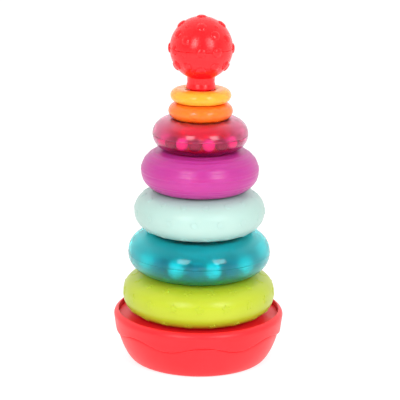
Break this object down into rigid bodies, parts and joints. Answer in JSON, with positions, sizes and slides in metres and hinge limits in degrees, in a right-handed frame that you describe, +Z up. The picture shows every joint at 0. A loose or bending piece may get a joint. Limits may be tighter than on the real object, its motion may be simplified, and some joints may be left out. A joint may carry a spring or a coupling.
{
  "type": "stacking ring toy",
  "caption": "Baby's stacking toy: a bowl-shaped base with an upright post, graded rings that lift off it, clear ones with rattle beads inside, and a bumpy ball that plugs into the top.",
  "frame": {"origin": "centre of the flat underside of the base", "axes": "+Z up along the post, -Y the front of the pictured view, +X to its right"},
  "size_m": [0.14, 0.14, 0.2837],
  "materials": {
    "base_coral": "satin moulded",
    "post_plastic": "satin moulded",
    "screw_steel": "plain zinc",
    "topper_coral": "satin moulded",
    "lime_plastic": "satin blow moulded",
    "teal_plastic": "clear tinted, polished",
    "mint_plastic": "satin blow moulded",
    "purple_plastic": "satin blow moulded",
    "crimson_plastic": "clear tinted, polished",
    "orange_plastic": "satin blow moulded",
    "yellow_plastic": "satin blow moulded",
    "teal_sleeve": "smooth",
    "crimson_sleeve": "smooth",
    "teal_bead_light": "polished",
    "teal_bead_dark": "polished",
    "crimson_bead_light": "polished",
    "crimson_bead_dark": "polished"
  },
  "bodies": {
    "base": {"base_bowl": "base_coral", "base_deck": "base_coral", "centre_post": "post_plastic", "base_screw_1": "screw_steel", "base_screw_2": "screw_steel", "base_screw_3": "screw_steel"},
    "lime_ring": {"lime_ring_shell": "lime_plastic", "lime_ring_plug": "lime_plastic"},
    "teal_ring": {"teal_ring_lower_shell": "teal_plastic", "teal_ring_upper_shell": "teal_plastic", "teal_ring_sleeve": "teal_sleeve"},
    "teal_beads": {"teal_bead_01": "teal_bead_light", "teal_bead_02": "teal_bead_dark", "teal_bead_03": "teal_bead_light", "teal_bead_04": "teal_bead_dark", "teal_bead_05": "teal_bead_light", "teal_bead_06": "teal_bead_dark", "teal_bead_07": "teal_bead_light", "teal_bead_08": "teal_bead_dark", "teal_bead_09": "teal_bead_light", "teal_bead_10": "teal_bead_dark", "teal_bead_11": "teal_bead_light", "teal_bead_12": "teal_bead_dark", "teal_bead_13": "teal_bead_light", "teal_bead_14": "teal_bead_dark", "teal_bead_15": "teal_bead_light", "teal_bead_16": "teal_bead_dark", "teal_bead_17": "teal_bead_light", "teal_bead_18": "teal_bead_dark", "teal_bead_19": "teal_bead_light", "teal_bead_20": "teal_bead_dark"},
    "mint_ring": {"mint_ring_shell": "mint_plastic", "mint_ring_plug": "mint_plastic"},
    "purple_ring": {"purple_ring_shell": "purple_plastic", "purple_ring_plug": "purple_plastic"},
    "crimson_ring": {"crimson_ring_lower_shell": "crimson_plastic", "crimson_ring_upper_shell": "crimson_plastic", "crimson_ring_sleeve": "crimson_sleeve"},
    "crimson_beads": {"crimson_bead_01": "crimson_bead_light", "crimson_bead_02": "crimson_bead_dark", "crimson_bead_03": "crimson_bead_light", "crimson_bead_04": "crimson_bead_dark", "crimson_bead_05": "crimson_bead_light", "crimson_bead_06": "crimson_bead_dark", "crimson_bead_07": "crimson_bead_light", "crimson_bead_08": "crimson_bead_dark", "crimson_bead_09": "crimson_bead_light", "crimson_bead_10": "crimson_bead_dark", "crimson_bead_11": "crimson_bead_light", "crimson_bead_12": "crimson_bead_dark", "crimson_bead_13": "crimson_bead_light", "crimson_bead_14": "crimson_bead_dark", "crimson_bead_15": "crimson_bead_light", "crimson_bead_16": "crimson_bead_dark", "crimson_bead_17": "crimson_bead_light", "crimson_bead_18": "crimson_bead_dark"},
    "orange_ring": {"orange_ring_shell": "orange_plastic"},
    "yellow_ring": {"yellow_ring_shell": "yellow_plastic"},
    "topper": {"topper_lower_half": "topper_coral", "topper_upper_half": "topper_coral"}
  },
  "joints": [
    {"name": "lime_ring_lift", "type": "slide", "parent": "base", "child": "lime_ring", "axis": [0, 0, 1], "range_m": [0, 0.195]},
    {"name": "teal_ring_lift", "type": "slide", "parent": "lime_ring", "child": "teal_ring", "axis": [0, 0, 1], "range_m": [0, 0.16]},
    {"name": "mint_ring_lift", "type": "slide", "parent": "teal_ring", "child": "mint_ring", "axis": [0, 0, 1], "range_m": [0, 0.125]},
    {"name": "purple_ring_lift", "type": "slide", "parent": "mint_ring", "child": "purple_ring", "axis": [0, 0, 1], "range_m": [0, 0.09]},
    {"name": "crimson_ring_lift", "type": "slide", "parent": "purple_ring", "child": "crimson_ring", "axis": [0, 0, 1], "range_m": [0, 0.058]},
    {"name": "orange_ring_lift", "type": "slide", "parent": "crimson_ring", "child": "orange_ring", "axis": [0, 0, 1], "range_m": [0, 0.032]},
    {"name": "yellow_ring_lift", "type": "slide", "parent": "orange_ring", "child": "yellow_ring", "axis": [0, 0, 1], "range_m": [0, 0.02]},
    {"name": "topper_lift", "type": "slide", "parent": "yellow_ring", "child": "topper", "axis": [0, 0, 1], "range_m": [0, 0.025]},
    {"name": "teal_beads_roll", "type": "hinge", "parent": "teal_ring", "child": "teal_beads", "pos_m": [0, 0, 0.09], "axis": [0, 0, 1], "continuous": true},
    {"name": "crimson_beads_roll", "type": "hinge", "parent": "crimson_ring", "child": "crimson_beads", "pos_m": [0, 0, 0.188], "axis": [0, 0, 1], "continuous": true}
  ]
}
